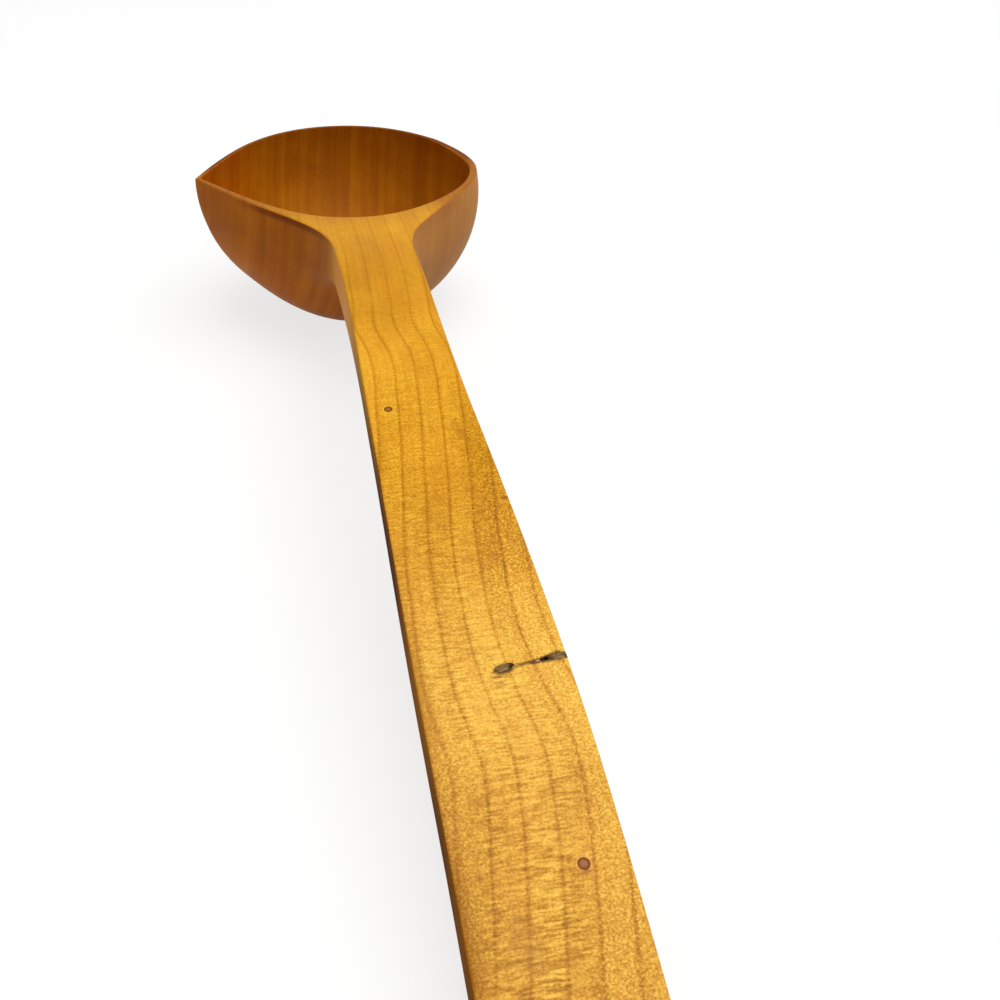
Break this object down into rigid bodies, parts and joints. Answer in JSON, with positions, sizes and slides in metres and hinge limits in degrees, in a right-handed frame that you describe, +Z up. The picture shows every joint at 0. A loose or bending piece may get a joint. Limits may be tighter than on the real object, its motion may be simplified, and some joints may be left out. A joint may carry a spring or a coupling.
{
  "type": "wooden ladle",
  "caption": "Carved wooden ladle with a round bowl drawn out to a pouring lip on one side and a long flat handle that arches down to the table.",
  "frame": {"origin": "centre of the flat foot under the bowl, on the surface that the ladle rests on", "axes": "+X from the bowl towards the end of the handle, +Y to the right of the person who holds the handle, away from the pouring lip, +Z up"},
  "size_m": [0.3799, 0.093, 0.0495],
  "materials": {
    "blank_wood": "oiled satin, amber with fine growth lines",
    "knot_wood": "dark oiled knot wood",
    "grown_in_bark": "dull olive brown bark"
  },
  "bodies": {
    "root": {"carved_body": "blank_wood", "far_pin_knot": "knot_wood", "near_pin_knot": "knot_wood", "inner_bark_pocket": "grown_in_bark", "outer_bark_pocket": "grown_in_bark"}
  },
  "joints": []
}
